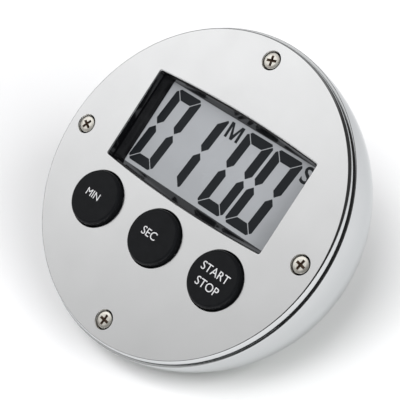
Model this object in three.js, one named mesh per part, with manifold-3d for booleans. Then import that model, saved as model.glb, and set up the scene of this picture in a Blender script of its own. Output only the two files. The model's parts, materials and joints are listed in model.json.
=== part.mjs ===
// Kitchen timer: a chrome dome with a tilted round face, a deep display window and three keys.
// Millimetres, +Z up. The origin is the middle of the rubber foot's underside, and the reader stands
// at -Y. The face group below has its own frame: origin in the middle of the face's front, +X to the
// reader's right, +Y up along the face and +Z straight out of it, so depths behind the face are
// negative z.
import * as THREE from 'three';
import { ConvexGeometry } from 'three/addons/geometries/ConvexGeometry.js';
import { mergeVertices } from 'three/addons/utils/BufferGeometryUtils.js';
import Module from 'manifold-3d';

const wasm = await Module();
wasm.setup();

// ---------------------------------------------------------------- driving dimensions
const GAP = 0.3; // clearance between neighbouring pieces
const WALL = 2; // dome wall
const DOME_RADIUS = 40; // outside of the dome
const CENTRE_DEPTH = 3.4; // dome centre behind the face's front
const CENTRE_HEIGHT = 37.8; // dome centre above the table
const FACE_TILT = THREE.MathUtils.degToRad(41); // face from horizontal, leaning back from the reader

const PLATE_RADIUS = 39.4;
const PLATE_THICKNESS = 2;
const PLATE_EDGE = { inward: 0.6, deep: 1.8 }; // elliptic rounding of the plate's front edge

const WINDOW = { halfWidth: 24.6, low: -3.1, high: 20, rise: 1 }; // rise: bulge of the long edges
const DISPLAY = { halfWidth: 23.1, low: -2.2, high: 19.4 }; // what the frame leaves visible
const FRAME_THICKNESS = 2.7;
const FRAME_RADIUS = 37.2;

const KEY_RADIUS = 6.6;
const KEY_PITCH = 19.35;
const KEY_ROW_X = -0.35; // the middle key sits a little left of the face's middle
const KEY_Y = -13;
const KEY_HEIGHT = 1.6; // how far a key stands out of the face
const KEY_EDGE = 0.8;
const KEYS = [['min', KEY_ROW_X - KEY_PITCH], ['sec', KEY_ROW_X], ['start_stop', KEY_ROW_X + KEY_PITCH]];

const SCREW_CIRCLE = 34.5;
const SCREW_PLACES = [['top', 0, 1], ['right', 1, 0], ['bottom', 0, -1], ['left', -1, 0]];
const BOARD_SCREWS = [['upper_right', 12, 25.8], ['lower_right', 27.2, -8.6],
  ['lower_left', -27.2, -8.6], ['upper_left', -12, 25.8]];

const CELL = { radius: 5.8, height: 5.4 }; // LR44 button cell
const DOOR_RADIUS = 8;

// ---------------------------------------------------------------- depths behind the face's front
const plateBack = -PLATE_THICKNESS;
const frameFront = plateBack - GAP;
const frameBack = frameFront - FRAME_THICKNESS;
const glassFront = frameBack - GAP;
const GLASS = 1.1;
const rearGlassFront = glassFront - GLASS - GAP;
const reflectorFront = rearGlassFront - GLASS - GAP;
const boardFront = glassFront - 5;
const BOARD = 1.6;
const boardBack = boardFront - BOARD;
const partsTop = boardBack - GAP; // where the parts soldered behind the board begin
const poleOuter = -CENTRE_DEPTH - 38.4; // the dome's flat spot that takes the battery door
const poleInner = poleOuter + WALL;

// ---------------------------------------------------------------- materials
const chrome = { color: 0xc9cccf, roughness: 0.08, metalness: 1 };
const satinSteel = { color: 0xd4d5d6, roughness: 0.3, metalness: 1 };
const blackPlastic = { color: 0x141416, roughness: 0.25, metalness: 0 };
const mattBlack = { color: 0x202124, roughness: 0.55, metalness: 0 };
const displayGlass = { color: 0xa3a7ab, roughness: 0.15, metalness: 0 };
const nickel = { color: 0xcfc2b0, roughness: 0.3, metalness: 1 };
const zincSteel = { color: 0xb4b6b8, roughness: 0.35, metalness: 1 };
const boardGreen = { color: 0x2f6b3c, roughness: 0.5, metalness: 0 };
const brass = { color: 0xc9a24a, roughness: 0.3, metalness: 1 };
const greyRubber = { color: 0x77797c, roughness: 0.8, metalness: 0 };
const ceramicTan = { color: 0xb9813f, roughness: 0.5, metalness: 0 };
const redVinyl = { color: 0xb3241f, roughness: 0.45, metalness: 0 };
const blackVinyl = { color: 0x18181a, roughness: 0.45, metalness: 0 };

// ---------------------------------------------------------------- solids
function solid(geometry) {
  const bare = geometry.index ? geometry.toNonIndexed() : geometry.clone();
  bare.deleteAttribute('normal');
  bare.deleteAttribute('uv');
  const merged = mergeVertices(bare, 1e-4);
  return new wasm.Manifold(new wasm.Mesh({
    numProp: 3,
    vertProperties: new Float32Array(merged.attributes.position.array),
    triVerts: new Uint32Array(merged.index.array),
  }));
}

function geometryOf(manifold) {
  const mesh = manifold.getMesh();
  const geometry = new THREE.BufferGeometry();
  geometry.setAttribute('position', new THREE.BufferAttribute(new Float32Array(mesh.vertProperties), 3));
  geometry.setIndex(new THREE.BufferAttribute(new Uint32Array(mesh.triVerts), 1));
  geometry.computeVertexNormals();
  return geometry;
}

// A profile of [radius, z] pairs, counter-clockwise, turned about the z axis.
function turned(profile, segments = 32) {
  const points = profile.map(([radius, z]) => new THREE.Vector2(radius, z));
  return solid(new THREE.LatheGeometry(points, segments).rotateX(Math.PI / 2));
}

function disc(radius, low, high, segments = 32) {
  return turned([[0, low], [radius, low], [radius, high], [0, high]], segments);
}

function box(low, high) {
  const size = high.map((value, i) => value - low[i]);
  const middle = high.map((value, i) => (value + low[i]) / 2);
  return solid(new THREE.BoxGeometry(...size).translate(...middle));
}

function slab(shape, low, high, curveSegments = 10) {
  const depth = high - low;
  return solid(new THREE.ExtrudeGeometry(shape, { depth, bevelEnabled: false, curveSegments })
    .translate(0, 0, low));
}

// Points of a round stretch in a profile, from one angle to another, both ends included.
function arc(radius, centreZ, from, to, steps, centreRadius = 0) {
  return Array.from({ length: steps + 1 }, (_, i) => {
    const angle = from + (to - from) * i / steps;
    return [centreRadius + radius * Math.cos(angle), centreZ + radius * Math.sin(angle)];
  });
}

function arched(inset) {
  const { low, high, rise } = WINDOW;
  const x = WINDOW.halfWidth - inset;
  const shape = new THREE.Shape();
  shape.moveTo(-x, low + inset);
  shape.quadraticCurveTo(0, low + inset - 2 * rise, x, low + inset);
  shape.lineTo(x, high - inset);
  shape.quadraticCurveTo(0, high - inset + 2 * rise, -x, high - inset);
  shape.closePath();
  return shape;
}

// ---------------------------------------------------------------- scene graph
const root = new THREE.Group();
const face = new THREE.Group();
face.rotation.x = FACE_TILT;
face.position.set(0, -CENTRE_DEPTH * Math.sin(FACE_TILT), CENTRE_HEIGHT + CENTRE_DEPTH * Math.cos(FACE_TILT));
root.add(face);
root.updateMatrixWorld(true);
const tableToFace = face.matrixWorld.clone().invert();

function add(group, name, shape, finish) {
  const geometry = shape.isBufferGeometry ? shape : geometryOf(shape);
  const mesh = new THREE.Mesh(geometry, new THREE.MeshStandardMaterial(finish));
  mesh.name = name;
  group.add(mesh);
  return mesh;
}

// ---------------------------------------------------------------- dome
const FOOT = { radius: 14, thickness: 1.5, proud: 0.8 };
const BASE_WALL = 1.5;

// Everything of a ball above a height over the table and behind a depth, with its pole cut flat.
function cutBall(radius, floorHeight, pole, rim) {
  const low = -Math.acos((-CENTRE_DEPTH - pole) / radius) + Math.PI / 2;
  const top = Math.asin((rim + CENTRE_DEPTH) / radius);
  const ball = turned([[0, pole], ...arc(radius, -CENTRE_DEPTH, -low, top, 13), [0, rim]], 60);
  const above = new THREE.BoxGeometry(100, 100, 100).translate(0, 0, floorHeight + 50);
  return ball.intersect(solid(above.applyMatrix4(tableToFace)));
}

function soundHoles() {
  const lean = THREE.MathUtils.degToRad(38);
  const hole = new THREE.CylinderGeometry(0.8, 0.8, 12, 8);
  const places = [[0, 0]];
  for (let i = 0; i < 6; i++) places.push([4.5 * Math.cos(i * Math.PI / 3), 4.5 * Math.sin(i * Math.PI / 3)]);
  return places.map(([across, along]) => {
    const drill = hole.clone().translate(across, -38, along);
    drill.rotateX(Math.PI / 2 + lean).translate(0, 0, -CENTRE_DEPTH);
    return solid(drill);
  });
}

// The bayonet: two lugs on the door pass two notches in the dome when the door is turned open.
const LUG = { reach: 9.3, halfAngle: 0.25, thickness: 0.9 };
const DOOR_OPEN = Math.PI / 3;

function sectorPair(radius, halfAngle, turn, low, high) {
  const pieces = [0, Math.PI].map((side) => {
    const from = turn + side - halfAngle;
    const shape = new THREE.Shape();
    shape.moveTo(0, 0);
    shape.lineTo(radius * Math.cos(from), radius * Math.sin(from));
    shape.absarc(0, 0, radius, from, from + 2 * halfAngle, false);
    shape.closePath();
    return slab(shape, low, high, 4);
  });
  return pieces[0].add(pieces[1]);
}

function domeShell() {
  const rim = frameFront;
  let shell = cutBall(DOME_RADIUS, FOOT.proud, poleOuter, rim);
  const hollow = cutBall(DOME_RADIUS - WALL, FOOT.thickness + GAP + BASE_WALL, poleInner, rim + 1);
  shell = shell.subtract(hollow);
  const envelope = cutBall(DOME_RADIUS - WALL / 2, FOOT.thickness + GAP + BASE_WALL / 2, poleOuter + 1, rim);
  for (const [, x, y] of SCREW_PLACES) {
    const boss = disc(3, -22, glassFront, 16).translate([x * SCREW_CIRCLE, y * SCREW_CIRCLE, 0]);
    const pilot = disc(1.4, -15, rim + 1, 10).translate([x * SCREW_CIRCLE, y * SCREW_CIRCLE, 0]);
    shell = shell.add(boss.intersect(envelope)).subtract(pilot);
  }
  const recess = new THREE.CylinderGeometry(FOOT.radius + GAP, FOOT.radius + GAP, 3, 32)
    .rotateX(Math.PI / 2).translate(0, 0, FOOT.thickness + GAP - 1.5);
  shell = shell.subtract(solid(recess.applyMatrix4(tableToFace)));
  shell = shell.subtract(disc(DOOR_RADIUS + GAP, poleOuter - 1, poleInner + 1, 32));
  shell = shell.subtract(sectorPair(LUG.reach + GAP, LUG.halfAngle + 0.05, DOOR_OPEN,
    poleOuter - 1, poleInner + 1));
  for (const hole of soundHoles()) shell = shell.subtract(hole);
  return shell;
}

function footPad() {
  return new THREE.CylinderGeometry(FOOT.radius, FOOT.radius, FOOT.thickness, 32)
    .rotateX(Math.PI / 2).translate(0, 0, FOOT.thickness / 2);
}

// ---------------------------------------------------------------- face plate and its screws
const SCREW = { head: 1.95, neck: 1.1, sink: 1.3, length: 12 };

function facePlate() {
  const corner = arc(1, 0, 0, Math.PI / 2, 4, 0).map(([x, z]) =>
    [PLATE_RADIUS - PLATE_EDGE.inward * (1 - x), PLATE_EDGE.deep * (z - 1)]);
  let plate = turned([[0, plateBack], [PLATE_RADIUS, plateBack], ...corner, [0, 0]], 60);
  plate = plate.subtract(slab(arched(0), plateBack - 1, 1));
  for (const [, x] of KEYS) {
    plate = plate.subtract(disc(KEY_RADIUS + GAP, plateBack - 1, 1, 32).translate([x, KEY_Y, 0]));
  }
  const sinkRadius = SCREW.head + 0.35;
  const throat = SCREW.neck + 0.4;
  const countersink = turned([[0, plateBack - 1], [throat, plateBack - 1], [throat, -SCREW.sink],
    [sinkRadius, -0.25], [sinkRadius, 1], [0, 1]], 20);
  for (const [, x, y] of SCREW_PLACES) {
    plate = plate.subtract(countersink.translate([x * SCREW_CIRCLE, y * SCREW_CIRCLE, 0]));
  }
  return plate;
}

// The cross recess of a screw head, in a head whose top is at z.
function crossRecess(z, reach, width, depth) {
  const first = box([-reach, -width / 2, z - depth], [reach, width / 2, z + 1]);
  const second = box([-width / 2, -reach, z - depth], [width / 2, reach, z + 1]);
  return first.add(second);
}

function faceScrew() {
  const { head, neck, sink, length } = SCREW;
  const body = turned([[0, -length], [neck, 1 - length], [neck, -sink - 0.1],
    [head, -0.45], [head, -0.3], [head * 0.6, -0.05], [0, 0]], 16);
  return body.subtract(crossRecess(0, 1.15, 0.5, 0.9));
}

// ---------------------------------------------------------------- frame behind the plate
const POCKET = { x: 25.1, low: -5.5, high: 22.6, wall: 1.5, depth: 3 };

function funnel() {
  const points = arched(0.25).getPoints(8).map((p) => new THREE.Vector3(p.x, p.y, frameFront + 0.1));
  for (const x of [-DISPLAY.halfWidth, DISPLAY.halfWidth]) {
    for (const y of [DISPLAY.low, DISPLAY.high]) points.push(new THREE.Vector3(x, y, frameBack - 0.1));
  }
  return solid(new ConvexGeometry(points));
}

function innerFrame() {
  const { x, low, high, wall, depth } = POCKET;
  let frame = disc(FRAME_RADIUS, frameBack, frameFront, 48);
  const outer = box([-x - wall, low - wall, frameBack - depth], [x + wall, high + wall, frameBack + 0.5]);
  const inner = box([-x, low, frameBack - depth - 1], [x, high, frameBack]);
  frame = frame.add(outer);
  for (const [, px, py] of BOARD_SCREWS) {
    frame = frame.add(disc(1.9, boardFront + GAP, frameBack + 0.5, 12).translate([px, py, 0]));
  }
  frame = frame.subtract(inner).subtract(funnel());
  for (const [, px, py] of BOARD_SCREWS) {
    frame = frame.subtract(disc(1, boardFront, frameBack - 1, 8).translate([px, py, 0]));
  }
  for (const [, keyX] of KEYS) {
    frame = frame.subtract(disc(KEY_RADIUS + 1, frameBack - 1, frameFront + 1, 28).translate([keyX, KEY_Y, 0]));
  }
  for (const [, sx, sy] of SCREW_PLACES) {
    const hole = disc(SCREW.neck + 0.4, frameBack - 1, frameFront + 1, 12);
    frame = frame.subtract(hole.translate([sx * SCREW_CIRCLE, sy * SCREW_CIRCLE, 0]));
  }
  return frame;
}

// ---------------------------------------------------------------- display
const LEDGE = 2.5; // how far the front glass reaches past the rear glass, to meet the rubber strips

function addDisplay() {
  const x = POCKET.x - GAP;
  const low = POCKET.low + GAP;
  const high = POCKET.high - GAP;
  const rearLow = low + LEDGE;
  const rearHigh = high - LEDGE;
  add(face, 'lcd_front_glass', box([-x, low, glassFront - GLASS], [x, high, glassFront]), displayGlass);
  add(face, 'lcd_rear_glass', box([-x, rearLow, rearGlassFront - GLASS], [x, rearHigh, rearGlassFront]),
    displayGlass);
  add(face, 'lcd_reflector', box([-x, rearLow, reflectorFront - 0.4], [x, rearHigh, reflectorFront]),
    zincSteel);
  const stripLow = boardFront + GAP;
  const stripX = x - 2;
  add(face, 'zebra_strip_upper', box([-stripX, rearHigh + GAP, stripLow], [stripX, high, rearGlassFront]),
    greyRubber);
  add(face, 'zebra_strip_lower', box([-stripX, low, stripLow], [stripX, rearLow - GAP, rearGlassFront]),
    greyRubber);
}

// ---------------------------------------------------------------- keys and switches
const PLUNGER = { radius: 1.6, top: frameBack - 0.7 };
const SWITCH = { half: 3, top: boardFront + GAP + 3.3 };

function key() {
  const flange = KEY_RADIUS + 0.7;
  const corner = arc(KEY_EDGE, KEY_HEIGHT - KEY_EDGE, 0, Math.PI / 2, 3, KEY_RADIUS - KEY_EDGE);
  return turned([[0, PLUNGER.top + GAP], [2.2, PLUNGER.top + GAP], [2.2, frameFront - 1],
    [flange, frameFront - 1], [flange, frameFront], [KEY_RADIUS, frameFront], ...corner,
    [0, KEY_HEIGHT]], 32);
}

function addKeys() {
  for (const [name, x] of KEYS) {
    add(face, `${name}_button`, key(), mattBlack).position.set(x, KEY_Y, 0);
    const well = disc(PLUNGER.radius + GAP, boardFront + 1, SWITCH.top + 1, 16);
    const body = box([-SWITCH.half, -SWITCH.half, boardFront + GAP], [SWITCH.half, SWITCH.half, SWITCH.top]);
    add(face, `${name}_switch`, body.subtract(well), mattBlack).position.set(x, KEY_Y, 0);
    const plunger = disc(PLUNGER.radius, boardFront + 2.1, PLUNGER.top, 16);
    add(face, `${name}_switch_plunger`, plunger, zincSteel).position.set(x, KEY_Y, 0);
  }
}

// ---------------------------------------------------------------- circuit board
const BOARD_RADIUS = 31.1;

function circuitBoard() {
  let board = disc(BOARD_RADIUS, boardBack, boardFront, 40);
  for (const [, x, y] of BOARD_SCREWS) {
    board = board.subtract(disc(1.2, boardBack - 1, boardFront + 1, 8).translate([x, y, 0]));
  }
  return board;
}

function boardScrew() {
  const top = partsTop - 1.2;
  const body = turned([[0, top], [1.9, top + 0.4], [1.9, partsTop], [0.7, partsTop],
    [0.7, frameBack - 2], [0, frameBack - 1.4]], 12);
  const cross = crossRecess(0, 1.1, 0.45, 0.7).rotate([180, 0, 0]).translate([0, 0, top]);
  return body.subtract(cross);
}

// A small two-legged part lying along x, such as a resistor or a crystal can.
function lyingCylinder(radius, length) {
  return new THREE.CylinderGeometry(radius, radius, length, 16).rotateZ(Math.PI / 2)
    .translate(0, 0, partsTop - radius);
}

function addBoard() {
  add(face, 'circuit_board', circuitBoard(), boardGreen);
  for (const [name, x, y] of BOARD_SCREWS) {
    add(face, `board_screw_${name}`, boardScrew(), zincSteel).position.set(x, y, 0);
  }
  const blob = turned([[0, partsTop - 1.7], [2.2, partsTop - 1.5], [4.2, partsTop - 0.8], [5, partsTop],
    [0, partsTop]], 24);
  add(face, 'chip_blob', blob, blackPlastic).position.set(-10, 8, 0);
  add(face, 'quartz_crystal', lyingCylinder(1, 6), zincSteel).position.set(-12, -4, 0);
  add(face, 'resistor', lyingCylinder(0.9, 3.4), ceramicTan).position.set(-18, -2, 0);
  for (const [name, x] of [['left', -8], ['right', -3]]) {
    const body = box([-1.6, -0.8, partsTop - 3], [1.6, 0.8, partsTop]);
    add(face, `capacitor_${name}`, body, ceramicTan).position.set(x, -8, 0);
  }
}

// ---------------------------------------------------------------- buzzer
const BUZZER = { x: 11, y: 7, radius: 11, height: 4.5 };

function addBuzzer() {
  const { x, y, radius, height } = BUZZER;
  const back = partsTop - height;
  const housing = turned([[1.2, back], [radius, back], [radius, partsTop], [radius - 1, partsTop],
    [radius - 1, back + 1], [1.2, back + 1], [1.2, back]], 28);
  add(face, 'buzzer_housing', housing, blackPlastic).position.set(x, y, 0);
  add(face, 'buzzer_disc', disc(radius - 1.4, back + 2, back + 2.4, 28), brass).position.set(x, y, 0);
}

// ---------------------------------------------------------------- battery
const lugTop = poleInner + GAP + LUG.thickness;
const cellBack = lugTop + GAP;
const cellFront = cellBack + CELL.height;
const springBack = cellFront + GAP;
const SHEET = 0.3;
const cupFloor = springBack + SHEET + GAP;
const cupTop = cupFloor + 1.5;
const tabTop = cupTop + 1;
const SIDE_STRIP = { inner: CELL.radius + GAP, thickness: 0.4, halfWidth: 1.2 };

function batteryHolder() {
  const bore = SIDE_STRIP.inner + SIDE_STRIP.thickness + GAP;
  const step = cellBack + 0.3;
  const skirtInner = LUG.reach + GAP;
  const cup = turned([[skirtInner, poleInner + GAP], [skirtInner + 1, poleInner + GAP],
    [skirtInner + 1, step + 0.6], [bore + 1.7, step + 0.6], [bore + 1.7, cupTop], [0, cupTop],
    [0, cupFloor], [bore, cupFloor], [bore, step], [skirtInner, step], [skirtInner, poleInner + GAP]], 28);
  const pinHole = disc(1.1, cupFloor - 1, cupTop + 1, 12);
  const slot = box([SIDE_STRIP.inner - GAP, -SIDE_STRIP.halfWidth - GAP, cupFloor - 1],
    [bore, SIDE_STRIP.halfWidth + GAP, cupTop + 1]);
  return cup.subtract(pinHole).subtract(slot);
}

function batteryDoor() {
  const door = disc(DOOR_RADIUS, poleOuter, lugTop, 32);
  const lugs = sectorPair(LUG.reach, LUG.halfAngle, 0, poleInner + GAP, lugTop);
  const coinSlot = box([-6, -0.8, poleOuter - 1], [6, 0.8, poleOuter + 0.8]);
  return door.add(lugs).subtract(coinSlot);
}

function addBattery() {
  add(face, 'battery_door', batteryDoor(), blackPlastic);
  add(face, 'battery_holder', batteryHolder(), blackPlastic);
  const rim = 0.35;
  const cell = turned([[0, cellBack], [CELL.radius, cellBack], [CELL.radius, cellFront - rim],
    [CELL.radius - rim, cellFront - rim], [CELL.radius - rim - 0.3, cellFront], [0, cellFront]], 24);
  add(face, 'button_cell', cell, zincSteel);
  const spring = turned([[0, springBack], [4.5, springBack], [4.5, springBack + SHEET],
    [0.8, springBack + SHEET], [0.8, tabTop], [0, tabTop]], 16);
  add(face, 'negative_contact', spring, zincSteel);
  const { inner, thickness, halfWidth } = SIDE_STRIP;
  const strip = box([inner, -halfWidth, cellBack + 0.8], [inner + thickness, halfWidth, tabTop]);
  add(face, 'positive_contact', strip, zincSteel);
}

// Each lead is a round wire from a contact's tab up to the board.
function lead(start, bend, end) {
  const route = new THREE.CatmullRomCurve3([start, bend, end]);
  const section = new THREE.Shape().absarc(0, 0, 0.55, 0, Math.PI * 2, false);
  return solid(new THREE.ExtrudeGeometry(section, { steps: 10, curveSegments: 4, extrudePath: route }));
}

function addLeads() {
  const from = tabTop + GAP;
  const to = partsTop;
  const positive = lead(new THREE.Vector3(6.3, 0, from), new THREE.Vector3(9, -9, from + 6),
    new THREE.Vector3(8, -16, to));
  const negative = lead(new THREE.Vector3(0, 0, from), new THREE.Vector3(1, -8, from + 7),
    new THREE.Vector3(3, -16, to));
  add(face, 'positive_lead', positive, redVinyl);
  add(face, 'negative_lead', negative, blackVinyl);
}

// ---------------------------------------------------------------- assembly
add(face, 'dome_shell', domeShell(), chrome);
add(root, 'foot_pad', footPad(), greyRubber);
add(face, 'face_plate', facePlate(), satinSteel);
for (const [name, x, y] of SCREW_PLACES) {
  add(face, `face_screw_${name}`, faceScrew(), nickel).position.set(x * SCREW_CIRCLE, y * SCREW_CIRCLE, 0);
}
add(face, 'inner_frame', innerFrame(), blackPlastic);
addDisplay();
addKeys();
addBoard();
addBuzzer();
addBattery();
addLeads();

export default root;
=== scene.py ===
"""Looks of the kitchen timer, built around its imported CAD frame. Shapes are in millimetres in the face's
own frame (origin in the middle of the face's front, +X to the reader's right, +Y up the face, +Z out of it)
until make() turns them into metres. Only the dome's base and the foot are drawn straight up from the
table."""
import json
import math

import bmesh
import bpy
from mathutils import Matrix, Vector


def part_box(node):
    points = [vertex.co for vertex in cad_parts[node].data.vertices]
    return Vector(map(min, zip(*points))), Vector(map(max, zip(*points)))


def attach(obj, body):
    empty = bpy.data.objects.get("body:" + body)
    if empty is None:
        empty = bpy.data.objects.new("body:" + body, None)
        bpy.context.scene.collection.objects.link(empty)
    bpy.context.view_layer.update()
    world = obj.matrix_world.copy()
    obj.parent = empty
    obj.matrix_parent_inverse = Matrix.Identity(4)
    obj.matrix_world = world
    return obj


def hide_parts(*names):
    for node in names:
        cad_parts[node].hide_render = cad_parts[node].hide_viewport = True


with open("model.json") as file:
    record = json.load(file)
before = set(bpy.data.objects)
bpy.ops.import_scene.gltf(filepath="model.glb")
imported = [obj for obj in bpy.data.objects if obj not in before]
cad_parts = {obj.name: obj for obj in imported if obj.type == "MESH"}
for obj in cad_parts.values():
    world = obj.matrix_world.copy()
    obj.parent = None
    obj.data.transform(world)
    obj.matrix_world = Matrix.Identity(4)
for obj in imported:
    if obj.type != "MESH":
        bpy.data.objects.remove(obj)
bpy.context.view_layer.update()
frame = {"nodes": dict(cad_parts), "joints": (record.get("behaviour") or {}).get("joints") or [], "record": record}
NODES = frame["nodes"]
MM = 0.001
TAU = 2 * math.pi
FLAT_AREA = 0.2 * MM * MM  # faces along the face's plane and larger than this are shaded flat

# ------------------------------------------------------------------ driving dimensions, in millimetres
KEYS = ("min", "sec", "start_stop")
SCREWS = {"top": 15, "right": -10, "bottom": -5, "left": -27}  # turn of each cross recess, in degrees

DOME_WALL = 2.0
DOME_INSET = 0.065  # how far the dome stays inside its CAD node
JOINT_GAP = 0.06  # hairline between the plate and the dome
OPENING_RADIUS = 8.3  # in the dome, for the battery cover
SOUND_HOLES = {"radius": 0.8, "ring": 4.5, "lean": 38}  # lean: degrees from the dome's pole up the face
NOTCHES = {"inner": 6, "half_angle": 17, "bend": 6, "places": (60, 240)}  # angles in degrees
BOSS = {"radius": 3, "back": -22, "pilot": 1.4, "pilot_depth": -15}  # one behind each face screw
LIP = {"rounding": 0.12, "depth": 0.4, "angle": 0.0045}  # angle: what it takes off the outside's arc
BASE = {"radius": 15.1, "top_radius": 17.3, "height": 2.5, "recess": 14.3}  # flat ring round the foot pad

PLATE_INSET = 0.03  # how far the plate stays inside its CAD node
PLATE_CHAMFER = 0.04  # along the plate's back edge
PLATE_EDGE = {"inward": 0.6, "deep": 1.8}  # elliptic rounding of its front edge
WINDOW = {"half": 24.6, "low": -3.1, "high": 20.0, "rise": 1.0}  # rise: bulge of the long edges
WINDOW_BEVEL = 0.22
SCREW_HOLE = {"hole": 1.5, "cone": 2.25, "mouth": 2.4}  # radii of a countersunk hole in the plate
KEY_GAP = 0.3  # between a key and its hole
HOLE_EDGE = 0.15  # rounding of a key hole's front edge

KEY_STEM = 2.2  # radius of the stem behind a key
FLANGE_REACH = 0.7  # how far a key's flange reaches past its cap
LABEL_LEADING = 3.45
LABELS = {  # words, letter size and offset from the key's middle
    "min": (["MIN"], 2.45, (-0.7, 0.2)),
    "sec": (["SEC"], 2.75, (-0.9, 0.2)),
    "start_stop": (["START", "STOP"], 2.8, (-0.1, -0.35)),
}

ZERO = ("top", "bottom", "upper_left", "upper_right", "lower_left", "lower_right")
ONE = ("upper_right", "lower_right")
DIGITS = ((-18.1, ZERO), (-8.95, ONE), (5.0, ZERO), (13.95, ZERO))  # middle and shown bars of each
DIGIT_MIDDLE = 8.75
SLANT = math.tan(math.radians(5.9))  # of the digits
FILM = 0.12  # the display's front film
INK_HEIGHT = 0.02  # of the digits over the film
INK_DEPTH = 0.03  # from the front of the ink to its back, inside the film
LABEL_SINK = 0.005  # how far a label's middle lies under the key's top
MINUTE_MARK = {"at": (-1.25, 16.7), "half": 2.05, "tall": 1.95, "stroke": 0.75}
SECOND_MARK = {"at": (20.95, 16.75), "size": 5.8, "bold": 0.018}

# ------------------------------------------------------------------ the face's frame, from the CAD joints
door_turn = next(j for j in frame["joints"] if j["name"] == "battery_door_turn")
NORMAL = Vector(door_turn["axis"]).normalized()
RIGHT = Vector((1, 0, 0))
UP = NORMAL.cross(RIGHT)
AXES = Matrix((RIGHT, UP, NORMAL)).transposed().to_4x4()


def box_along(node, to_local):
    """Lowest and highest corner of a CAD node in another frame, in millimetres."""
    points = [to_local @ v.co / MM for v in NODES[node].data.vertices]
    return Vector(map(min, *points)), Vector(map(max, *points))


plate_low, plate_high = box_along("face_plate", AXES.inverted())
plate_middle = (plate_low + plate_high) / 2
plate_middle.z = plate_high.z
FACE = Matrix.Translation(AXES @ (plate_middle * MM)) @ AXES
TO_FACE = FACE.inverted()


def face_box(node):
    """Lowest and highest corner of a CAD node in the face's frame."""
    return box_along(node, TO_FACE)


def centre_of(node):
    """Middle of a CAD node in the face's frame."""
    low, high = face_box(node)
    return (low + high) / 2


# ------------------------------------------------------------------ sizes read from the CAD nodes
plate_low, plate_high = face_box("face_plate")
key_low, key_high = face_box("sec_button")
PLATE_RADIUS = plate_high.x - PLATE_INSET
PLATE_BACK = plate_low.z
KEY_TOP = key_high.z
KEY_BACK = key_low.z
KEY_FLANGE = key_high.x - centre_of("sec_button").x
KEY_RADIUS = KEY_FLANGE - FLANGE_REACH
FRAME_FRONT = face_box("inner_frame")[1].z
GLASS_FRONT = face_box("lcd_front_glass")[1].z


# ------------------------------------------------------------------ mesh helpers
def make(name, bm, body, node, material, smooth=35, place=FACE):
    """A finished piece from a mesh in millimetres. Where node is given, it stands for that CAD node."""
    bmesh.ops.recalc_face_normals(bm, faces=bm.faces)
    bm.transform(place @ Matrix.Scale(MM, 4))
    mesh = bpy.data.meshes.new(name)
    bm.to_mesh(mesh)
    bm.free()
    mesh.polygons.foreach_set("use_smooth", [True] * len(mesh.polygons))
    mesh.set_sharp_from_angle(angle=math.radians(smooth))
    for face in mesh.polygons:
        if face.area > FLAT_AREA and abs(face.normal.dot(NORMAL)) > 0.9999:
            face.use_smooth = False
    piece = bpy.data.objects.new(name, mesh)
    bpy.context.scene.collection.objects.link(piece)
    mesh.materials.append(material)
    normals = piece.modifiers.new("normals", "WEIGHTED_NORMAL")
    normals.keep_sharp = True
    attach(piece, body)
    if node:
        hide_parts(node)
    return piece


def rounded(corners, steps=6):
    """Corners (r, z, radius) of an outline as (r, z) points, each corner turned into an arc of its radius."""
    points = []
    count = len(corners)
    for i, (x, y, radius) in enumerate(corners):
        here = Vector((x, y))
        if radius <= 0:
            points.append(here)
            continue
        before = Vector(corners[i - 1][:2]) - here
        after = Vector(corners[(i + 1) % count][:2]) - here
        before.normalize()
        after.normalize()
        half = before.angle(after) / 2
        start = here + before * radius / math.tan(half)
        end = here + after * radius / math.tan(half)
        centre = here + (before + after).normalized() * radius / math.sin(half)
        for k in range(steps + 1):
            spoke = (start - centre).normalized().slerp((end - centre).normalized(), k / steps)
            points.append(centre + spoke * radius)
    return [(p.x, p.y) for p in points]


def arc(radius, centre_z, start, end, steps):
    """Points (r, z) on a circle about the axis, from one angle to another, both ends included."""
    angles = [start + (end - start) * k / steps for k in range(steps + 1)]
    return [(radius * math.cos(a), centre_z + radius * math.sin(a)) for a in angles]


def lathe(profile, steps=128, at=(0, 0)):
    """Turns (r, z) points about an upright axis. The profile runs from axis to axis, or closes on itself."""
    bm = bmesh.new()
    rings = []
    for r, z in profile:
        if r < 1e-6:
            rings.append([bm.verts.new((at[0], at[1], z))])
            continue
        turns = [TAU * k / steps for k in range(steps)]
        rings.append([bm.verts.new((at[0] + r * math.cos(a), at[1] + r * math.sin(a), z)) for a in turns])
    closed = len(rings[0]) > 1
    pairs = zip(rings, rings[1:] + rings[:1]) if closed else zip(rings, rings[1:])
    for lower, upper in pairs:
        for k in range(steps):
            n = (k + 1) % steps
            corners = [lower[k % len(lower)], lower[n % len(lower)]]
            corners += [upper[n % len(upper)], upper[k % len(upper)]]
            unique = list(dict.fromkeys(corners))
            if len(unique) > 2:
                bm.faces.new(unique)
    bmesh.ops.recalc_face_normals(bm, faces=bm.faces)
    return bm


def loft(rings):
    """A closed solid through rings of points, with a flat cap on each end."""
    bm = bmesh.new()
    made = [[bm.verts.new(p) for p in ring] for ring in rings]
    for a, b in zip(made, made[1:]):
        for k in range(len(a)):
            n = (k + 1) % len(a)
            bm.faces.new((a[k], a[n], b[n], b[k]))
    bm.faces.new(reversed(made[0]))
    bm.faces.new(made[-1])
    bmesh.ops.recalc_face_normals(bm, faces=bm.faces)
    return bm


def slab(outline, low, high):
    """An outline of (x, y) points made solid between two heights."""
    return loft([[(x, y, z) for x, y in outline] for z in (low, high)])


def block(low, high):
    """A box between its lowest and highest corner."""
    corners = [(low[0], low[1]), (high[0], low[1]), (high[0], high[1]), (low[0], high[1])]
    return slab(corners, low[2], high[2])


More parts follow.
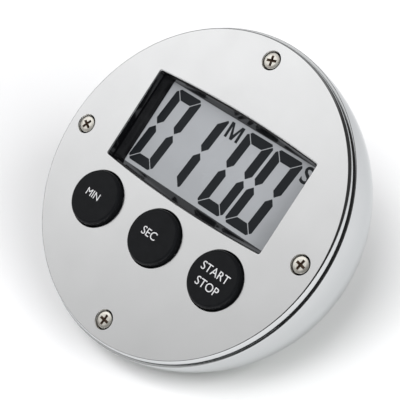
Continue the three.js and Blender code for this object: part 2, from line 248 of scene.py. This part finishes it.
def boolean(bm, tool, operation="DIFFERENCE"):
    """bm cut by, or joined with, another mesh. Both are used up."""
    objects = []
    for source in (bm, tool):
        mesh = bpy.data.meshes.new("boolean")
        source.to_mesh(mesh)
        source.free()
        objects.append(bpy.data.objects.new("boolean", mesh))
        bpy.context.scene.collection.objects.link(objects[-1])
    modifier = objects[0].modifiers.new("boolean", "BOOLEAN")
    modifier.operation = operation
    modifier.solver = "EXACT"
    modifier.object = objects[1]
    made = bmesh.new()
    made.from_object(objects[0], bpy.context.evaluated_depsgraph_get())
    for o in objects:
        bpy.data.objects.remove(o)
    return made


def joined(pieces):
    """Several meshes that don't touch, as one. They are used up."""
    whole = bmesh.new()
    for piece in pieces:
        mesh = bpy.data.meshes.new("piece")
        piece.to_mesh(mesh)
        piece.free()
        whole.from_mesh(mesh)
    return whole


def moved(bm, matrix):
    bm.transform(matrix)
    return bm


def quarter(steps):
    """Angles of a quarter turn, both ends included."""
    return [math.pi / 2 * k / steps for k in range(steps + 1)]


def refined(name, node, body, material, edge=0.15, steps=2):
    """A CAD node's own shape with its flat faces whole again and its edges rounded."""
    bm = bmesh.new()
    bm.from_mesh(NODES[node].data)
    bmesh.ops.transform(bm, matrix=Matrix.Scale(1 / MM, 4) @ TO_FACE, verts=bm.verts)
    bmesh.ops.remove_doubles(bm, verts=bm.verts, dist=1e-3)
    bmesh.ops.dissolve_limit(bm, angle_limit=math.radians(1), verts=bm.verts, edges=bm.edges)
    sharp = [e for e in bm.edges if len(e.link_faces) == 2 and e.calc_face_angle(0) > math.radians(40)]
    bmesh.ops.bevel(bm, geom=sharp, offset=edge, segments=steps, profile=0.5, affect="EDGES",
                    clamp_overlap=True)
    return make(name, bm, body, node, material)


# ------------------------------------------------------------------ materials
class Nodes:
    """A material's node tree, with short ways to add and join nodes."""

    def __init__(self, name, colour, roughness, metallic=0.0):
        self.material = bpy.data.materials.new(name)
        self.material.use_nodes = True
        self.tree = self.material.node_tree
        self.shader = self.tree.nodes["Principled BSDF"]
        self.shader.inputs["Base Color"].default_value = (*colour, 1)
        self.shader.inputs["Roughness"].default_value = roughness
        self.shader.inputs["Metallic"].default_value = metallic
        self.place = self.tree.nodes.new("ShaderNodeTexCoord").outputs["Object"]

    def add(self, kind, **values):
        node = self.tree.nodes.new(kind)
        for key, value in values.items():
            if key in node.inputs:
                node.inputs[key].default_value = value
            else:
                setattr(node, key, value)
        return node

    def join(self, output, target):
        self.tree.links.new(output, target)

    def stretched(self, scale):
        mapping = self.add("ShaderNodeMapping")
        mapping.inputs["Scale"].default_value = scale
        self.join(self.place, mapping.inputs["Vector"])
        return mapping.outputs["Vector"]

    def noise(self, size, detail=4.0, stretch=None, roughness=0.5):
        """Noise from 0 to 1 with features about size millimetres across."""
        node = self.add("ShaderNodeTexNoise", Scale=1 / (size * MM), Detail=detail, Roughness=roughness)
        self.join(self.stretched(stretch) if stretch else self.place, node.inputs["Vector"])
        return node.outputs["Fac"]

    def between(self, factor, low, high, from_low=0.3, from_high=0.7):
        node = self.add("ShaderNodeMapRange")
        limits = {"From Min": from_low, "From Max": from_high, "To Min": low, "To Max": high}
        for key, value in limits.items():
            node.inputs[key].default_value = value
        self.join(factor, node.inputs["Value"])
        return node.outputs["Result"]

    def colours(self, factor, first, second):
        node = self.add("ShaderNodeValToRGB")
        ramp = node.color_ramp
        ramp.elements[0].position = 0.3
        ramp.elements[1].position = 0.7
        ramp.elements[0].color = (*first, 1)
        ramp.elements[1].color = (*second, 1)
        self.join(factor, node.inputs["Fac"])
        return node.outputs["Color"]

    def bump(self, height, depth, strength=1.0):
        """depth is in millimetres."""
        node = self.add("ShaderNodeBump", Strength=strength, Distance=depth * MM)
        self.join(height, node.inputs["Height"])
        self.join(node.outputs["Normal"], self.shader.inputs["Normal"])

    def set(self, **values):
        for key, value in values.items():
            self.shader.inputs[key.replace("_", " ")].default_value = value


def mottled(name, colour, roughness, metallic=0.0, size=1.5, spread=0.08, bump=0.004, grain=0.4):
    """Base of most finishes: soft colour and roughness variation with a fine grain in the surface. size and
    grain are the millimetres across a cloud and a grain, bump is the grain's depth in millimetres."""
    nodes = Nodes(name, colour, roughness, metallic)
    cloud = nodes.noise(size)
    darker = tuple(c * (1 - spread) for c in colour)
    lighter = tuple(min(1, c * (1 + spread)) for c in colour)
    nodes.join(nodes.colours(cloud, darker, lighter), nodes.shader.inputs["Base Color"])
    patches = nodes.noise(size * 2.3, detail=6)
    rough = nodes.between(patches, roughness * 0.85, roughness * 1.15)
    nodes.join(rough, nodes.shader.inputs["Roughness"])
    nodes.bump(nodes.noise(grain, detail=2), bump)
    return nodes


def polished_chrome():
    nodes = mottled("polished_chrome", (0.60, 0.61, 0.614), 0.08, 1.0,
                    size=14, spread=0.015, bump=0.0004, grain=3)
    nodes.set(Specular_Tint=(0.76, 0.77, 0.775, 1))
    return nodes.material


def satin_metal():
    return mottled("satin_metal", (0.86, 0.865, 0.87), 0.2, 1.0,
                   size=9, spread=0.02, bump=0.0006, grain=0.5).material


def gloss_black():
    return mottled("gloss_black_plastic", (0.003, 0.003, 0.0035), 0.12,
                   size=3, spread=0.1, bump=0.0003, grain=2).material


def key_black():
    nodes = mottled("key_black_plastic", (0.0062, 0.0066, 0.0074), 0.34,
                    size=2, spread=0.12, bump=0.004, grain=0.12)
    nodes.set(Specular_IOR_Level=0.12)
    return nodes.material


def label_white():
    return mottled("label_ink", (0.52, 0.52, 0.53), 0.5,
                   size=0.6, spread=0.05, bump=0.002, grain=0.1).material


def display_grey():
    nodes = mottled("display_grey", (0.29, 0.30, 0.315), 0.3,
                    size=12, spread=0.03, bump=0.0004, grain=0.2)
    nodes.set(Specular_IOR_Level=0.12)
    return nodes.material


def display_ink():
    nodes = mottled("display_ink", (0.0095, 0.011, 0.013), 0.35,
                    size=3, spread=0.06, bump=0.0004, grain=0.2)
    nodes.set(Specular_IOR_Level=0.15)
    return nodes.material


def nickel():
    return mottled("warm_nickel", (0.98, 0.92, 0.84), 0.3, 1.0,
                   size=0.8, spread=0.08, bump=0.003, grain=0.15).material


# Dark brown painted shade for the inside of the screws' cross recesses, darker than the nickel head.
def recess_painted_shade():
    return mottled("recess_painted_shade", (0.10, 0.065, 0.045), 0.5, 0.6,
                   size=0.3, spread=0.3, bump=0.01, grain=0.1).material


def foot_rubber():
    return mottled("foot_rubber", (0.035, 0.035, 0.037), 0.75,
                   size=2, spread=0.15, bump=0.02, grain=0.25).material


def rear_glass():
    nodes = mottled("rear_glass", (0.62, 0.66, 0.66), 0.08, size=6, spread=0.03, bump=0.0003, grain=2)
    nodes.set(Transmission_Weight=0.5)
    return nodes.material


def brushed(name, colour, roughness, stretch=(1, 14, 14), bump=0.002):
    """Metal with fine lines drawn along x."""
    nodes = Nodes(name, colour, roughness, 1.0)
    lines = nodes.noise(2, detail=5, stretch=stretch)
    darker = tuple(c * 0.9 for c in colour)
    nodes.join(nodes.colours(lines, darker, colour), nodes.shader.inputs["Base Color"])
    nodes.join(nodes.between(lines, roughness * 0.8, roughness * 1.2), nodes.shader.inputs["Roughness"])
    nodes.bump(lines, bump)
    return nodes.material


def zebra_rubber():
    """Thin conducting layers stacked along x between grey rubber ones."""
    nodes = Nodes("zebra_rubber", (0.2, 0.2, 0.2), 0.6)
    layers = nodes.add("ShaderNodeTexWave", Scale=900.0, Distortion=0.3)
    nodes.join(nodes.place, layers.inputs["Vector"])
    stripes = nodes.colours(layers.outputs["Fac"], (0.02, 0.02, 0.02), (0.34, 0.34, 0.35))
    nodes.join(stripes, nodes.shader.inputs["Base Color"])
    nodes.bump(layers.outputs["Fac"], 0.01)
    return nodes.material


def solder_mask():
    """Green lacquer, a little lighter over the copper under it."""
    nodes = Nodes("solder_mask", (0.02, 0.15, 0.045), 0.35)
    copper = nodes.add("ShaderNodeTexVoronoi", Scale=260.0, distance="MANHATTAN", Randomness=0.7)
    nodes.join(nodes.place, copper.inputs["Vector"])
    edge = nodes.between(copper.outputs["Distance"], 0, 1, 0.42, 0.46)
    tracks = nodes.colours(edge, (0.02, 0.15, 0.045), (0.045, 0.24, 0.08))
    nodes.join(tracks, nodes.shader.inputs["Base Color"])
    nodes.bump(edge, 0.02)
    return nodes.material


def moulded_black():
    return mottled("switch_black", (0.03, 0.03, 0.031), 0.5, size=1.5, spread=0.12, bump=0.006).material


def epoxy():
    return mottled("epoxy_drop", (0.01, 0.01, 0.011), 0.12, size=4, spread=0.2, bump=0.03, grain=3).material


def dipped_ceramic():
    return mottled("dipped_ceramic", (0.36, 0.17, 0.05), 0.4, size=0.8, spread=0.15, bump=0.02).material


def vinyl(name, colour):
    return mottled(name, colour, 0.4, size=1.2, spread=0.1, bump=0.004, grain=0.3).material


CHROME = polished_chrome()
SATIN = satin_metal()
GLOSS_BLACK = gloss_black()
KEY_BLACK = key_black()
WHITE = label_white()
DISPLAY = display_grey()
INK = display_ink()
NICKEL = nickel()
RUBBER = foot_rubber()
RECESS_SHADE = recess_painted_shade()
INSIDE = {  # finishes of the pieces that keep their CAD shape, by material slot
    "frame_black": GLOSS_BLACK,
    "switch_black": moulded_black(),
    "lcd_rear": rear_glass(),
    "reflector_foil": brushed("reflector_foil", (0.78, 0.79, 0.80), 0.3),
    "zebra_rubber": zebra_rubber(),
    "board_green": solder_mask(),
    "epoxy_black": epoxy(),
    "tinned_steel": brushed("tinned_steel", (0.72, 0.73, 0.74), 0.28),
    "ceramic_tan": dipped_ceramic(),
    "buzzer_brass": brushed("buzzer_brass", (0.74, 0.52, 0.20), 0.3, (3, 3, 3)),
    "lead_red": vinyl("lead_red", (0.45, 0.012, 0.010)),
    "lead_black": vinyl("lead_black", (0.012, 0.012, 0.013)),
}

# ------------------------------------------------------------------ dome
def sound_holes(centre):
    """Cutters for seven small round holes in the back of the dome, one in the middle of a ring of six."""
    turn = Matrix.Rotation(math.radians(180 + SOUND_HOLES["lean"]), 4, "X")
    lean = Matrix.Translation((0, 0, centre)) @ turn
    places = [(0, 0)]
    for k in range(6):
        a = TAU * k / 6
        places.append((SOUND_HOLES["ring"] * math.cos(a), SOUND_HOLES["ring"] * math.sin(a)))
    radius = SOUND_HOLES["radius"]
    near, far = 32, 44  # distances from the dome's centre that reach through its wall
    return [moved(lathe([(0, near), (radius, near), (radius, far), (0, far)], 32),
                  lean @ Matrix.Translation((x, y, 0))) for x, y in places]


def notches(pole):
    """Cutters for the two notches that let the battery cover's lugs out when it is turned open."""
    reach = face_box("battery_door")[1].x + 0.3
    inner = NOTCHES["inner"]
    cutters = []
    for side in NOTCHES["places"]:
        start = side - NOTCHES["half_angle"]
        end = side + NOTCHES["half_angle"]
        bend = NOTCHES["bend"]
        sector = [(inner, start), (reach, start), (reach, side - bend),
                  (reach, side + bend), (reach, end), (inner, end)]
        outline = [(r * math.cos(math.radians(a)), r * math.sin(math.radians(a))) for r, a in sector]
        cutters.append(slab(outline, pole - 1, pole + DOME_WALL + 1))
    return cutters


def posts(radius, low, high):
    """A round post behind each face screw."""
    made = []
    for name in SCREWS:
        at = centre_of(f"face_screw_{name}")
        made.append(lathe([(0, low), (radius, low), (radius, high), (0, high)], 32, (at.x, at.y)))
    return made


def bosses(radius, centre):
    """Posts for the face screws, ended inside the dome's wall."""
    inside = []
    for post in posts(BOSS["radius"], BOSS["back"], GLASS_FRONT):
        ball = lathe(arc(radius - DOME_WALL / 2, centre, -math.pi / 2, math.pi / 2, 40), 96)
        inside.append(boolean(post, ball, "INTERSECT"))
    return joined(inside)


def dome():
    """The dome without its base: a ball cut off at its rim and flat at its pole."""
    low, high = face_box("dome_shell")
    radius = high.x - DOME_INSET
    rim = PLATE_BACK - JOINT_GAP
    pole = low.z
    vertices = [TO_FACE @ v.co / MM for v in NODES["dome_shell"].data.vertices]
    flat = max(math.hypot(v.x, v.y) for v in vertices if v.z < pole + 0.05)
    centre = pole + math.sqrt(radius ** 2 - flat ** 2)
    inner = radius - DOME_WALL
    end = math.asin((rim - centre) / radius)
    outside = arc(radius, centre, -math.acos(flat / radius), end - LIP["angle"], 110)
    inside = arc(inner, centre, math.asin((rim - centre) / inner), -math.acos((flat - 0.3) / inner), 60)
    edge = radius * math.cos(end)
    lip = rounded([(edge, rim - LIP["depth"], 0), (edge, rim, LIP["rounding"]), (inner, rim, 0)])[1:-1]
    opening = (OPENING_RADIUS, pole + DOME_WALL)
    shell = lathe([(OPENING_RADIUS, pole)] + outside + lip + inside + [opening], 240)
    shell = boolean(shell, bosses(radius, centre), "UNION")
    pilots = posts(BOSS["pilot"], BOSS["pilot_depth"], rim + 1)
    return boolean(shell, joined(pilots + sound_holes(centre) + notches(pole)))


def add_dome():
    bm = dome()
    floor_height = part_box("dome_shell")[0].z / MM
    top = floor_height + BASE["height"]
    upright = Matrix.Scale(1 / MM, 4) @ TO_FACE @ Matrix.Scale(MM, 4)
    base = lathe([(0, floor_height), (BASE["radius"], floor_height), (BASE["top_radius"], top), (0, top)], 96)
    bm = boolean(bm, moved(base, upright), "UNION")
    bm = boolean(bm, moved(block((-50, -50, -20), (50, 50, floor_height)), upright))
    recess = BASE["recess"]
    sink = lathe([(0, -1), (recess, -1), (recess, floor_height + 1), (0, floor_height + 1)], 96)
    bm = boolean(bm, moved(sink, upright))
    piece = make("dome", bm, "housing", "dome_shell", CHROME)
    piece.visible_diffuse = False  # keeps its mirrored light out of its own soft shadow


# ------------------------------------------------------------------ face plate
def arched(grow, z, steps=24, corner=0.5):
    """The window's outline at height z, grown outwards, with bulging long edges and small round corners."""
    span = WINDOW["half"] + grow - corner
    low = WINDOW["low"] - grow
    high = WINDOW["high"] + grow
    points = []
    for sx, sy, y, first in ((1, -1, low, -90), (1, 1, high, 0), (-1, 1, high, 90), (-1, -1, low, 180)):
        for a in quarter(4):
            turn = math.radians(first) + a
            points.append((sx * span + corner * math.cos(turn), y - sy * corner + corner * math.sin(turn), z))
        if sx == sy:
            for k in range(1, steps):
                t = 1 - 2 * k / steps
                points.append((sx * span * t, y + sy * WINDOW["rise"] * (1 - t * t), z))
    return points


def flared(radius, depth, edge, at):
    """A cutter for a round hole whose front edge comes out rounded by edge."""
    profile = [(0, depth - 1), (radius, depth - 1)]
    profile += [(radius + edge * (1 - math.cos(a)), -edge + edge * math.sin(a)) for a in quarter(5)]
    profile += [(radius + edge, 1), (0, 1)]
    return lathe(profile, 96, at)


def window_cutter():
    """Cuts the window with its long edges bulging and its front edge rounded."""
    rings = [arched(0, PLATE_BACK - 1)]
    for a in quarter(5):
        rings.append(arched(WINDOW_BEVEL * (1 - math.cos(a)), WINDOW_BEVEL * (math.sin(a) - 1)))
    rings.append(arched(WINDOW_BEVEL, 1))
    return loft(rings)


def countersink(at):
    """Cuts a face screw's hole and the cone under its head."""
    hole = SCREW_HOLE["hole"]
    mouth = SCREW_HOLE["mouth"]
    profile = [(0, PLATE_BACK - 1), (hole, PLATE_BACK - 1), (hole, -1.3), (SCREW_HOLE["cone"], -0.35),
               (mouth, 0.02), (mouth, 1), (0, 1)]
    return lathe(profile, 64, at)


def add_plate():
    inward = PLATE_EDGE["inward"]
    deep = PLATE_EDGE["deep"]
    edge = [(PLATE_RADIUS - inward * (1 - math.cos(a)), deep * (math.sin(a) - 1)) for a in quarter(16)]
    back = [(0, PLATE_BACK), (PLATE_RADIUS - PLATE_CHAMFER, PLATE_BACK)]
    back.append((PLATE_RADIUS, PLATE_BACK + PLATE_CHAMFER))
    bm = lathe(back + edge + [(0, 0)], 256)
    bm = boolean(bm, window_cutter())
    for key in KEYS:
        at = centre_of(f"{key}_button")
        bm = boolean(bm, flared(KEY_RADIUS + KEY_GAP, PLATE_BACK, HOLE_EDGE, (at.x, at.y)))
    for name in SCREWS:
        at = centre_of(f"face_screw_{name}")
        bm = boolean(bm, countersink((at.x, at.y)))
    reach = WINDOW["rise"] + 0.1
    for face in bm.faces:
        spot = face.calc_center_median()
        across = abs(spot.x) < WINDOW["half"] + 0.05
        along = WINDOW["low"] - reach < spot.y < WINDOW["high"] + reach
        upright = abs(face.normal.z) < 0.5 and PLATE_BACK + 0.01 < spot.z < -WINDOW_BEVEL
        if across and along and upright:
            face.material_index = 1
        if math.hypot(spot.x, spot.y) > PLATE_RADIUS - inward + 0.02:
            face.material_index = 2
    piece = make("face_plate_metal", bm, "housing", "face_plate", SATIN)
    piece.data.materials.append(GLOSS_BLACK)  # 1: the walls of the window
    piece.data.materials.append(CHROME)  # 2: the plate's rounded edge


# ------------------------------------------------------------------ screws
def cross(z, turn, at, reach=1.2, width=0.62, taper=0.45, depth=1.0):
    """A tapered four-armed cutter whose arms start at height z."""
    def ring(scale, height):
        points = []
        for k in range(4):
            a = math.radians(turn + 90 * k)
            along = Vector((math.cos(a), math.sin(a)))
            across = Vector((-along.y, along.x))
            w = width / 2 * (0.6 + 0.4 * scale)
            r = reach * scale
            for p in (along * r - across * w, along * r + across * w, (along + across) * w):
                points.append((at[0] + p.x, at[1] + p.y, height))
        return points
    return loft([ring(taper, z - depth), ring(1, z - 0.12), ring(1.12, z + 0.05), ring(1.12, z + 1)])


def add_screws():
    head = -0.08  # height of the head's middle
    for name, turn in SCREWS.items():
        node = f"face_screw_{name}"
        at = centre_of(node)
        tip = face_box(node)[0].z
        corners = [(0, tip, 0), (1.0, tip + 1.2, 0.2), (1.0, -1.35, 0.1), (1.93, -0.5, 0.06),
                   (1.93, -0.22, 0.12), (1.3, -0.1, 0.5), (0, head, 0)]
        bm = lathe(rounded(corners), 64, (at.x, at.y))
        bm = boolean(bm, cross(head, turn, (at.x, at.y)))
        for face in bm.faces:
            spot = face.calc_center_median() - Vector((at.x, at.y, 0))
            # The faces inside the cross recess take the dark brown painted shade.
            if -1.2 < spot.z < -0.16 and math.hypot(spot.x, spot.y) < 1.28:
                face.material_index = 1
        piece = make(f"screw_{name}", bm, "housing", node, NICKEL)
        # slot 1: painted shade inside the cross recess
        piece.data.materials.append(RECESS_SHADE)


# ------------------------------------------------------------------ keys and their labels
def lettering(name, lines, size, leading, at, z, body, material, bold=0.0):
    """Words as thin raised ink, centred on a point of the face's frame. bold widens the strokes."""
    bm = bmesh.new()
    for i, line in enumerate(lines):
        curve = bpy.data.curves.new(name, "FONT")
        curve.body = line
        curve.size = size
        curve.align_x = "CENTER"
        curve.align_y = "CENTER"
        curve.offset = bold * size
        curve.extrude = 0.015
        curve.resolution_u = 4
        text = bpy.data.objects.new(name, curve)
        bpy.context.scene.collection.objects.link(text)
        mesh = bpy.data.meshes.new_from_object(text.evaluated_get(bpy.context.evaluated_depsgraph_get()))
        bpy.data.objects.remove(text)
        drop = leading * (i - (len(lines) - 1) / 2)
        mesh.transform(Matrix.Translation((at[0], at[1] - drop, z)))
        bm.from_mesh(mesh)
    bmesh.ops.remove_doubles(bm, verts=bm.verts, dist=1e-5)
    return make(name, bm, body, None, material, smooth=60)


def add_keys():
    for key in KEYS:
        node = f"{key}_button"
        at = centre_of(node)
        under = FRAME_FRONT - 1
        corners = [(0, KEY_BACK, 0), (KEY_STEM, KEY_BACK, 0.2), (KEY_STEM, under, 0.2),
                   (KEY_FLANGE, under, 0.1), (KEY_FLANGE, FRAME_FRONT, 0.1), (KEY_RADIUS, FRAME_FRONT, 0),
                   (KEY_RADIUS, KEY_TOP - 0.04, 0.75), (0, KEY_TOP, 0)]
        bm = lathe(rounded(corners, 8), 128, (at.x, at.y))
        body = f"{key}_key"
        make(f"{key}_key_cap", bm, body, node, KEY_BLACK)
        words, size, shift = LABELS[key]
        place = (at.x + shift[0], at.y + shift[1])
        ink = KEY_TOP - LABEL_SINK
        lettering(f"{key}_label", words, size, LABEL_LEADING, place, ink, body, WHITE)


# ------------------------------------------------------------------ display
def digit_bars(bars, w=4.07, h=10.1, bar=2.4, cut=1.0, gap=0.07, point=1.5, tip=0.2):
    """The shown bars of a digit as outlines about its middle, before its slant. w and h are half its size,
    bar is how thick a bar is, cut takes off the outer corners, gap is half the slit along each mitre, point
    and tip shape the middle ends."""
    corner_x = w - cut / 2
    corner_y = h - cut / 2
    top = [(-corner_x + gap, corner_y + gap), (-w + cut, h), (w - cut, h),
           (corner_x - gap, corner_y + gap),
           (w - bar - 2 * gap, h - bar), (-w + bar + 2 * gap, h - bar)]
    side = [(-w, h - cut), (-corner_x - gap, corner_y - gap), (-w + bar, h - bar - 2 * gap),
            (-w + bar, point), (-w + bar / 2, tip), (-w, point)]
    flips = {"top": (top, 1, 1), "bottom": (top, 1, -1), "upper_left": (side, 1, 1),
             "upper_right": (side, -1, 1), "lower_left": (side, 1, -1), "lower_right": (side, -1, -1)}
    outlines = []
    for name in bars:
        outline, flip_x, flip_y = flips[name]
        outlines.append([(x * flip_x, y * flip_y) for x, y in outline])
    return outlines


def add_glass():
    """The front glass and the film on it that carries the digits."""
    refined("display_glass", "lcd_front_glass", "housing", DISPLAY, 0.1)
    low, high = face_box("lcd_front_glass")
    margin = 0.8
    corner = 0.4
    outline = [(low.x + margin, low.y + margin, corner), (high.x - margin, low.y + margin, corner),
               (high.x - margin, high.y - margin, corner), (low.x + margin, high.y - margin, corner)]
    bm = slab(rounded(outline, 4), GLASS_FRONT - 0.02, GLASS_FRONT + FILM)
    make("display_film", bm, "housing", None, DISPLAY)


def add_digits(low, high):
    pieces = []
    for middle_x, bars in DIGITS:
        for outline in digit_bars(bars):
            slanted = [(middle_x + x + y * SLANT, DIGIT_MIDDLE + y, 0.12) for x, y in outline]
            pieces.append(slab(rounded(slanted, 3), low, high))
    make("display_digits", joined(pieces), "housing", None, INK)


def add_minute_mark(low, high):
    """A small M, drawn as one outline."""
    half = MINUTE_MARK["half"]
    tall = MINUTE_MARK["tall"]
    stroke = MINUTE_MARK["stroke"]
    right_side = [(0, -tall / 3), (half - stroke * 1.2, tall), (half, tall), (half, -tall),
                  (half - stroke, -tall), (half - stroke, tall / 2), (stroke / 2, -tall)]
    letter = right_side + [(-x, y) for x, y in reversed(right_side[1:])]
    at = MINUTE_MARK["at"]
    bm = slab([(x + at[0], y + at[1]) for x, y in letter], low, high)
    make("minute_mark", bm, "housing", None, INK)


def add_display():
    add_glass()
    top = GLASS_FRONT + FILM + INK_HEIGHT
    add_digits(top - INK_DEPTH, top)
    add_minute_mark(top - INK_DEPTH, top)
    mark = SECOND_MARK
    lettering("second_mark", ["S"], mark["size"], 0, mark["at"], top - INK_HEIGHT, "housing", INK,
              mark["bold"])


# ------------------------------------------------------------------ foot
def add_foot():
    """The rubber foot with two rings under it, drawn straight up from the table."""
    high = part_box("foot_pad")[1]
    radius = high.x / MM
    top = high.z / MM
    groove = 0.35
    corners = [(0, groove, 0), (4.5, groove, 0.1), (5, 0, 0.15), (9, 0, 0.15), (9.5, groove, 0.1),
               (10.5, groove, 0.1), (11, 0, 0.15), (radius, 0, 0.4), (radius, top, 0.1), (0, top, 0)]
    bm = lathe(rounded(corners, 4), 128)
    make("foot", bm, "housing", "foot_pad", RUBBER, place=Matrix.Identity(4))


# ------------------------------------------------------------------ the whole timer
def finish_inside():
    """Finishes for the CAD nodes that no piece replaces."""
    for subpart in frame["record"]["subparts"]:
        node = NODES[subpart["node"]]
        if not node.hide_render:
            node.data.materials.clear()
            node.data.materials.append(INSIDE[subpart["material_slot"]])


add_dome()
add_plate()
add_screws()
add_keys()
refined("window_frame", "inner_frame", "housing", GLOSS_BLACK, 0.12)
add_display()
add_foot()
refined("battery_cover", "battery_door", "battery_cover", GLOSS_BLACK, 0.15)
finish_inside()


# ------------------------------------------------------------------ floor, light and camera
PANEL = Vector((-0.553, -0.558, 0.617))  # middle of the big soft panel that the face mirrors
PANEL_FADE = ((0.0, 0.0), (0.80, 0.0), (0.93, 1.0), (1.0, 1.0))  # by how near a direction is to its middle
BRIGHT_SIDE = Vector((-0.509, 0.700, 0.502))  # the panel is brighter towards this side
SIDE_FADE = ((0.0, 0.34), (0.05, 0.47), (0.35, 1.12), (1.0, 1.22))
BACK = Vector((-0.55, 0.62, 0.56))  # the dim room is lighter behind the timer
ROOM_FADE = ((0.0, 0.05), (0.72, 0.06), (0.93, 0.34), (1.0, 0.42))
SOFTBOXES = {  # where each lamp is and the side of its square, in metres, and its power in watts
    "left_box": ((0.432, -1.186, 1.802), 0.83, 37.5),
    "right_box": ((1.660, -0.292, 1.414), 1.26, 39),
}
CAMERA = {"azimuth": 46.0, "elevation": 39.7, "distance": 0.3414, "lens": 137.4}
AIM_RIGHT = 2.8  # millimetres in the picture from the middle of the face to where the camera aims
AIM_DOWN = 2.2


def floor():
    """A plain pale floor, six metres across."""
    bm = bmesh.new()
    bmesh.ops.create_grid(bm, x_segments=1, y_segments=1, size=3)
    mesh = bpy.data.meshes.new("floor")
    bm.to_mesh(mesh)
    bm.free()
    plane = bpy.data.objects.new("floor", mesh)
    bpy.context.scene.collection.objects.link(plane)
    nodes = Nodes("floor_paper", (0.9, 0.9, 0.91), 0.8)
    mesh.materials.append(nodes.material)


def faded(tree, value, stops):
    """A grey level read from (value, level) stops."""
    ramp = tree.nodes.new("ShaderNodeValToRGB")
    while len(ramp.color_ramp.elements) < len(stops):
        ramp.color_ramp.elements.new(0.5)
    for element, (position, level) in zip(ramp.color_ramp.elements, stops):
        element.position = position
        element.color = (level, level, level, 1)
    tree.links.new(value, ramp.inputs["Fac"])
    return ramp.outputs["Color"]


def towards(tree, place, direction):
    """How near a direction is to another one, as the cosine between them."""
    node = tree.nodes.new("ShaderNodeVectorMath")
    node.operation = "DOT_PRODUCT"
    node.inputs[1].default_value = direction
    tree.links.new(place, node.inputs[0])
    return node.outputs["Value"]


def sky():
    """The soft panel that the metal mirrors, in a dim room."""
    world = bpy.data.worlds.new("studio")
    bpy.context.scene.world = world
    world.use_nodes = True
    tree = world.node_tree
    place = tree.nodes.new("ShaderNodeTexCoord").outputs["Generated"]
    panel = faded(tree, towards(tree, place, PANEL), PANEL_FADE)
    light = faded(tree, towards(tree, place, BRIGHT_SIDE), SIDE_FADE)
    room = faded(tree, towards(tree, place, BACK), ROOM_FADE)
    mix = tree.nodes.new("ShaderNodeMix")
    mix.data_type = "RGBA"
    tree.links.new(panel, mix.inputs["Factor"])
    tree.links.new(room, mix.inputs["A"])
    tree.links.new(light, mix.inputs["B"])
    tree.links.new(mix.outputs["Result"], tree.nodes["Background"].inputs["Color"])


def softbox(name, where, size, power):
    """A square lamp aimed at the timer, which the metal does not mirror."""
    light = bpy.data.lights.new(name, "AREA")
    light.shape = "RECTANGLE"
    light.size = size
    light.size_y = size
    light.energy = power
    lamp = bpy.data.objects.new(name, light)
    bpy.context.scene.collection.objects.link(lamp)
    lamp.location = where
    lamp.visible_glossy = False
    lamp.rotation_mode = "QUATERNION"
    lamp.rotation_quaternion = (-Vector(where)).to_track_quat("-Z", "Y")


def camera():
    azimuth = math.radians(CAMERA["azimuth"])
    elevation = math.radians(CAMERA["elevation"])
    level = math.cos(elevation)
    back = Vector((math.sin(azimuth) * level, -math.cos(azimuth) * level, math.sin(elevation)))
    rotation = (-back).to_track_quat("-Z", "Y")
    right = rotation @ Vector((1, 0, 0))
    up = rotation @ Vector((0, 1, 0))
    aim = FACE.translation + (right * AIM_RIGHT - up * AIM_DOWN) * MM
    cam = bpy.data.objects.new("camera", bpy.data.cameras.new("camera"))
    bpy.context.scene.collection.objects.link(cam)
    cam.data.lens = CAMERA["lens"]
    cam.data.sensor_width = 36
    cam.location = aim + back * CAMERA["distance"]
    cam.rotation_mode = "QUATERNION"
    cam.rotation_quaternion = rotation
    bpy.context.scene.camera = cam


floor()
sky()
for box_name, (box_place, box_size, box_power) in SOFTBOXES.items():
    softbox(box_name, box_place, box_size, box_power)
camera()
bpy.context.scene.view_settings.view_transform = "Standard"
